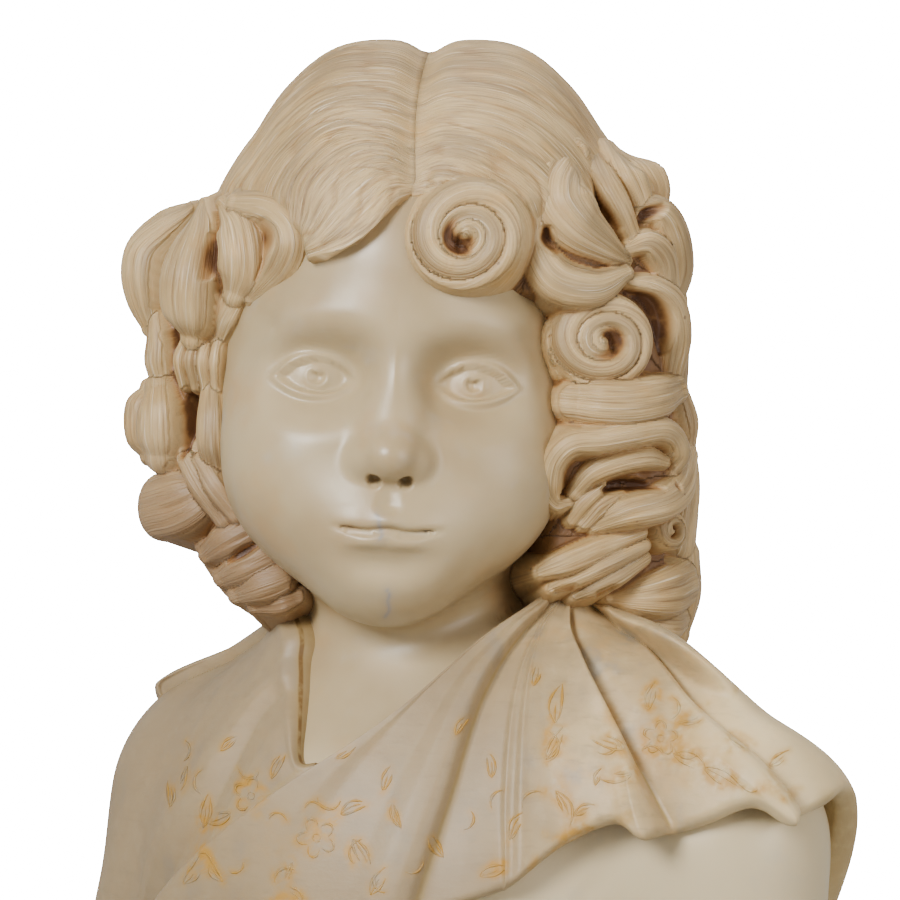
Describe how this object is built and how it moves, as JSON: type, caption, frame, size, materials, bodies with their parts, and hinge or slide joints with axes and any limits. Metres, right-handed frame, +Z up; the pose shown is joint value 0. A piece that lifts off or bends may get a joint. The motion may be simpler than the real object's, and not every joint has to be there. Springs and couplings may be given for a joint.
{
  "type": "carved marble portrait bust",
  "caption": "Carved marble bust of a calm curly-haired child in a wide pleated crossover collar, cut flat below, for display on a shelf or socle.",
  "frame": {"origin": "middle of the bounding box, on the flat underside", "axes": "+Z up, the face towards -Y, +X to the viewer's right; the chest is turned about 30 degrees towards -X"},
  "size_m": [0.2681, 0.2029, 0.3361],
  "materials": {
    "marble": "ivory marble with fine veins, polished on face, neck and sleeve, and a satin, tan-toned finish on hair and collar"
  },
  "bodies": {
    "root": {"bust": "marble"}
  },
  "joints": []
}
